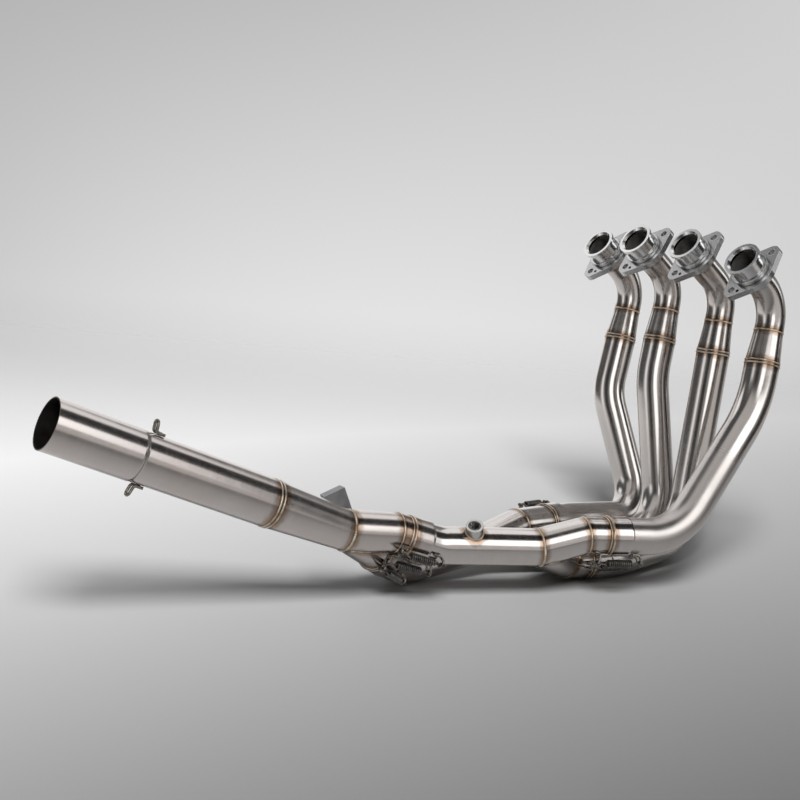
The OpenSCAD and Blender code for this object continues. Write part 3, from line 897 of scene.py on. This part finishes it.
spring = {
    "wireR": 1.0, "coilR": 3.5, "turns": 12, "gap": 0.5, "behind": -39, "ahead": 14,
    "hookWireR": 1.5, "hookRise": 9, "weldGap": 0.1,
    "loopGap": 0.4, "loopArc": 300, "loopStep": 12, "leadIn": 0.3, "leadOut": 2.5,
    "stepsPerTurn": 26, "wireSides": 12, "endR": 0.01,
}
springPlaces = {
    "near_upper_spring": ("nearUpper", 150), "near_lower_spring": ("nearLower", 90),
    "far_upper_spring": ("farUpper", -60), "far_lower_spring": ("farLower", 40),
    "rear_upper_spring": ("rearUpper", 165), "rear_lower_spring": ("rearLower", 130),
    "rear_outer_spring": ("rearUpper", 118),
}


def jointFrame(joint, angle):
    rim, knee = joints[joint]
    way = direction(knee, rim)
    up = (vec(0, 0, 1) - way * way.z).normalized()
    left = way.cross(up)
    turn = math.radians(angle)
    out = up * math.cos(turn) + left * math.sin(turn)
    return rim, out, way.cross(out), way


# Centre line of a spring along z: a loop, the coil and the other loop
def springLine():
    half = (spring["ahead"] - spring["behind"]) / 2
    loopR = spring["hookWireR"] + spring["wireR"] + spring["loopGap"]
    coil = spring["turns"] * (spring["wireR"] * 2 + spring["gap"])
    coilR = spring["coilR"]
    count = spring["turns"] * spring["stepsPerTurn"]
    loop = []
    for step in range(spring["loopArc"], -1, -spring["loopStep"]):
        a = math.radians(step)
        loop.append((loopR * math.sin(a), 0, loopR * math.cos(a) - half))
    middle = []
    for k in range(count + 1):
        a = 2 * math.pi * k / spring["stepsPerTurn"]
        middle.append((coilR * math.cos(a), coilR * math.sin(a), coil * k / count - coil / 2))
    lead = (spring["leadIn"] * coilR, 0, coil / 2 + spring["leadOut"])
    return loop + [(lead[0], 0, -lead[2])] + middle + [lead] + [(-x, y, -z) for x, y, z in reversed(loop)]


for node, (joint, angle) in springPlaces.items():
    rim, out, side, way = jointFrame(joint, angle)
    centre = rim + out * (socketR + spring["weldGap"] + spring["hookRise"])
    centre += way * (spring["ahead"] + spring["behind"]) / 2
    path = wirePath([centre + out * x + side * y + way * z for x, y, z in springLine()], spring["wireR"])
    parts = newParts()
    addSweep(parts, path, spring["wireSides"])
    for k, sign in ((0, -1), (-1, 1)):
        addRim(parts, path[k][0], path[k][1] * sign, spring["endR"], spring["wireR"], spring["wireSides"])
    makePiece(pieceName(node), parts, [springSteel], [node])
print("springs ready")

# Thread in the sensor boss

thread = {"pitch": 1.25, "turns": 8, "wireR": 0.4, "stepsPerTurn": 40, "wireSides": 8, "below": 1.2,
          "sink": 0.15}
around = circle(*squareTo(boss["way"]), thread["stepsPerTurn"])
points = []
for k in range(thread["turns"] * thread["stepsPerTurn"]):
    depth = boss["top"] - thread["below"] - thread["pitch"] * k / thread["stepsPerTurn"]
    out = around[k % thread["stepsPerTurn"]] * (boss["boreR"] - thread["sink"])
    points.append(bossAt + boss["way"] * depth + out)
parts = newParts()
addSweep(parts, wirePath(points, thread["wireR"]), thread["wireSides"])
makePiece("sensorBossThread", parts, [bossSteel])
print("thread ready")

# Finishes of the solids that stay

finishes = {"port_spigot": turnedSteel, "port_flange": milledSteel, "sensor_boss": bossSteel,
            "hanger_bracket": sheetSteel, "_hooks": hookSteel}
for name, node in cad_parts.items():
    for key, material in finishes.items():
        if key in name:
            node.data.materials.clear()
            node.data.materials.append(material)

# Stage

stage = {"floorRadius": 5.0, "floorSides": 96, "fadeNear": 2.2, "fadeFar": 4.6, "mirrorFade": (0.8, 1.4),
         "eyeBehind": 1.389, "nearest": 0.1}
camera = {"at": vec(-0.7704, -1.1557, 0.4381), "right": vec(0.84414385, -0.52991926, 0.08128181),
          "up": vec(0.02059366, 0.1835512, 0.98279441), "back": vec(-0.53572107, -0.82794597, 0.1658566),
          "lens": 56.25, "sensor": 36}
ahead = vec(-camera["back"].x, -camera["back"].y, 0).normalized()
across = vec(ahead.y, -ahead.x, 0)

# Painted light and shade: the floor's colour is lighter or darker over the way ahead (p) and across (q),
# painting the fall of light: 1, p, q, pp, pq, qq
floorLook = {
    "preview": (0.6, 0.6, 0.6), "terms": [0.3515, 0.4166, -0.29, 0.0802, -0.1358, 0.1288],
    "least": 0.05, "most": 0.78, "mottleScale": 3.0, "mottle": 0.02, "mottleFrom": 0.99,
    "rough": 0.6, "specular": 0.1,
}


def polynomial(tree, p, q, terms):
    powers = [p, q, times(tree, p, p), times(tree, p, q), times(tree, q, q)]
    total = terms[0]
    for term, value in zip(terms[1:], powers):
        total = plus(tree, times(tree, value, term), total)
    return total


def floorMaterial():
    material, tree, shader = newMaterial("studioFloor", floorLook["preview"])
    spot = objectPlace(tree)
    p = dot(tree, spot, ahead)
    q = dot(tree, spot, across)
    # painted light and shade: the floor's colour follows the fall of light
    shade = clamped(tree, polynomial(tree, p, q, floorLook["terms"]), floorLook)
    mottle = times(tree, noise(tree, spot, floorLook["mottleScale"], 3.0), floorLook["mottle"])
    mottled = times(tree, shade, plus(tree, mottle, floorLook["mottleFrom"]))
    feed(tree, shader, Base_Color=grey(tree, mottled), Roughness=floorLook["rough"],
         Specular_IOR_Level=floorLook["specular"])
    # the floor fades into the world, by nearness to the eye or, for metal, by distance from the header
    reach = calculate(tree, "MAXIMUM", plus(tree, p, stage["eyeBehind"]), stage["nearest"])
    nearness = calculate(tree, "DIVIDE", 1.0, reach)
    seen = remap(tree, nearness, (1 / stage["fadeNear"], 1 / stage["fadeFar"]), curve="SMOOTHSTEP")
    mirrored = remap(tree, lengthOf(tree, spot), stage["mirrorFade"], curve="SMOOTHSTEP")
    glossy = put(tree, "LightPath").outputs["Is Glossy Ray"]
    fade = put(tree, "Mix", {0: glossy, 2: seen, 3: mirrored}).outputs[0]
    clear = put(tree, "BsdfTransparent").outputs[0]
    mixed = put(tree, "MixShader", {0: fade, 1: shader.outputs[0], 2: clear}).outputs[0]
    tree.links.new(mixed, tree.nodes["Material Output"].inputs["Surface"])
    return material


bpy.ops.mesh.primitive_circle_add(vertices=stage["floorSides"], radius=stage["floorRadius"], fill_type="NGON")
floor = bpy.context.object
floor.name = "floor"
floor.data.materials.append(floorMaterial())

# A soft card of the studio as the metal sees it: a rectangle in a direction
leastFacing = 0.02
cardGroup, given, out = newGroup(
    "softCard",
    [("Direction", asVector, None), ("Towards", asVector, None), ("Right", asVector, None),
     ("Up", asVector, None), ("Half Width", asNumber, 0.5), ("Half Height", asNumber, 0.3),
     ("Softness", asNumber, 0.1)],
    [("Mask", asNumber)])
tree = cardGroup
facing = dot(tree, given["Direction"], given["Towards"])
front = calculate(tree, "MAXIMUM", facing, leastFacing)
masks = []
for side, half in (("Right", "Half Width"), ("Up", "Half Height")):
    share = calculate(tree, "DIVIDE", dot(tree, given["Direction"], given[side]), front)
    apart = minus(tree, calculate(tree, "ABSOLUTE", share, 0.0), given[half])
    past = calculate(tree, "DIVIDE", apart, given["Softness"])
    masks.append(remap(tree, past, (0.0, 1.0), (1.0, 0.0), "SMOOTHSTEP"))
inFront = calculate(tree, "GREATER_THAN", facing, leastFacing)
tree.links.new(times(tree, times(tree, masks[0], masks[1]), inFront), out["Mask"])

# Cards cover the ones before them. Azimuth runs from +X towards +Y, as seen from the header
cards = {
    "paleWall": {"azimuth": 72, "elevation": 16, "halfWidth": 0.42, "halfHeight": 0.75, "softness": 0.12,
                 "light": (1.0, 1.0, 1.01)},
    "backSoftbox": {"azimuth": 34, "elevation": 57, "halfWidth": 0.4, "halfHeight": 0.27, "softness": 0.1,
                    "light": (1.15, 1.15, 1.16)},
    "topFill": {"azimuth": 228, "elevation": 60, "halfWidth": 0.42, "halfHeight": 0.3, "softness": 0.2,
                "light": (0.58, 0.57, 0.56)},
    "leftFlag": {"azimuth": 130, "elevation": 20, "halfWidth": 0.4, "halfHeight": 0.85, "softness": 0.12,
                 "light": (0.09, 0.09, 0.09)},
    "flangeFill": {"azimuth": 117, "elevation": 31, "halfWidth": 0.14, "halfHeight": 0.16, "softness": 0.08,
                   "light": (1.3, 1.3, 1.3)},
    "leftStrip": {"azimuth": 173, "elevation": 6, "halfWidth": 0.1, "halfHeight": 0.28, "softness": 0.09,
                  "light": (1.1, 1.1, 1.1)},
    "middleFlag": {"azimuth": 204, "elevation": 14, "halfWidth": 0.16, "halfHeight": 0.4, "softness": 0.08,
                   "light": (0.05, 0.05, 0.05)},
    "frontFill": {"azimuth": 276, "elevation": -2, "halfWidth": 0.5, "halfHeight": 0.3, "softness": 0.15,
                  "light": (0.6, 0.58, 0.565)},
    "rightFlag": {"azimuth": 332, "elevation": 24, "halfWidth": 0.35, "halfHeight": 0.6, "softness": 0.08,
                  "light": (0.035, 0.035, 0.035)},
    "topFlag": {"azimuth": 308, "elevation": 66, "halfWidth": 0.34, "halfHeight": 0.16, "softness": 0.06,
                "light": (0.03, 0.03, 0.03)},
    "farSoftbox": {"azimuth": 342, "elevation": 13, "halfWidth": 0.1, "halfHeight": 0.09, "softness": 0.05,
                   "light": (1.5, 1.5, 1.5)},
    "stripLight": {"azimuth": 243, "elevation": 16, "halfWidth": 0.16, "halfHeight": 0.26, "softness": 0.1,
                   "light": (1.9, 1.9, 1.9)},
    "keySoftbox": {"azimuth": 288, "elevation": 32, "roll": -33, "halfWidth": 0.37, "halfHeight": 0.24,
                   "softness": 0.05, "light": (2.1, 2.1, 2.1)},
}
# Light of the pale backdrop: its brightest value, where that lies, and the fall from there
backdrop = {"peak": 0.8, "peakHeight": -0.13, "side": 1.6, "sideLess": 5.9, "rise": 0.95, "tilt": 1.1,
            "least": 0.3, "most": 0.9}
# What the metal sees behind the cards, from straight down to straight up
surround = [(0.0, (0.3, 0.29, 0.28)), (0.4, (0.5, 0.48, 0.465)), (0.5, (0.36, 0.35, 0.34)),
            (0.62, (0.25, 0.25, 0.25)), (0.8, (0.12, 0.12, 0.12)), (0.95, (0.07, 0.07, 0.07)),
            (0.98, (0.6, 0.6, 0.6)), (1.0, (0.8, 0.8, 0.8))]
# Soft light from above on everything, over the height of its direction
overhead = {"strength": 0.2, "stops": [(0.0, (0.35, 0.35, 0.35)), (0.5, (0.7, 0.7, 0.7)),
                                       (0.8, (1.2, 1.2, 1.2)), (1.0, (1.6, 1.6, 1.6))]}
upward = vec(0, 0, 1)


def backdropShade(tree, way):
    u = dot(tree, way, across)
    above = calculate(tree, "MAXIMUM", minus(tree, dot(tree, way, upward), backdrop["peakHeight"]), 0.0)
    sideways = minus(tree, backdrop["side"], times(tree, above, backdrop["sideLess"]))
    slope = minus(tree, backdrop["rise"], times(tree, u, backdrop["tilt"]))
    fall = plus(tree, times(tree, times(tree, u, u), sideways), times(tree, above, slope))
    return grey(tree, clamped(tree, minus(tree, backdrop["peak"], fall), backdrop))


def addCard(tree, way, card, light):
    azimuth = math.radians(card["azimuth"])
    elevation = math.radians(card["elevation"])
    level = vec(math.cos(azimuth), math.sin(azimuth), 0)
    towards = level * math.cos(elevation) + upward * math.sin(elevation)
    roll = Matrix.Rotation(math.radians(card.get("roll", 0)), 3, towards)
    right = roll @ upward.cross(level)
    place = {"Direction": way, "Towards": towards, "Right": right, "Up": towards.cross(right)}
    size = {"Half Width": card["halfWidth"], "Half Height": card["halfHeight"], "Softness": card["softness"]}
    mask = useGroup(tree, cardGroup, **place, **size)["Mask"]
    return mixColour(tree, mask, light, (*card["light"], 1))


def buildWorld():
    world = bpy.data.worlds.new("studio")
    bpy.context.scene.world = world
    world.use_nodes = True
    tree = world.node_tree
    tree.nodes.clear()
    way = put(tree, "TexCoord").outputs["Generated"]
    height = dot(tree, way, upward)
    mirrored = ramp(tree, remap(tree, height, (-1.0, 1.0)), surround)
    for card in cards.values():
        mirrored = addCard(tree, way, card, mirrored)
    shown = put(tree, "Background", {"Color": backdropShade(tree, way), "Strength": 1.0}).outputs[0]
    mirrorLight = put(tree, "Background", {"Color": mirrored, "Strength": 1.0}).outputs[0]
    softColour = ramp(tree, height, overhead["stops"])
    softLight = put(tree, "Background", {"Color": softColour, "Strength": overhead["strength"]}).outputs[0]
    ray = put(tree, "LightPath").outputs
    lights = put(tree, "MixShader", {0: ray["Is Glossy Ray"], 1: softLight, 2: mirrorLight}).outputs[0]
    final = put(tree, "MixShader", {0: ray["Is Camera Ray"], 1: lights, 2: shown}).outputs[0]
    put(tree, "OutputWorld", {"Surface": final})


buildWorld()

softbox = {"width": 1.3, "depth": 1.3, "power": 250.0, "at": vec(-1.34, -2.15, 2.9)}
lamp = bpy.data.objects.new("overheadSoftbox", bpy.data.lights.new("overheadSoftbox", "AREA"))
lamp.data.shape = "RECTANGLE"
lamp.data.size = softbox["width"]
lamp.data.size_y = softbox["depth"]
lamp.data.energy = softbox["power"]
lamp.location = softbox["at"]
lamp.rotation_euler = softbox["at"].to_track_quat("Z", "Y").to_euler()
lamp.visible_glossy = False
bpy.context.scene.collection.objects.link(lamp)

eye = bpy.data.objects.new("camera", bpy.data.cameras.new("camera"))
eye.data.lens = camera["lens"]
eye.data.sensor_width = camera["sensor"]
turn = Matrix((camera["right"], camera["up"], camera["back"])).transposed().to_4x4()
eye.matrix_world = Matrix.Translation(camera["at"]) @ turn
bpy.context.scene.collection.objects.link(eye)
bpy.context.scene.camera = eye
bpy.context.scene.view_settings.view_transform = "Standard"
print("stage ready")
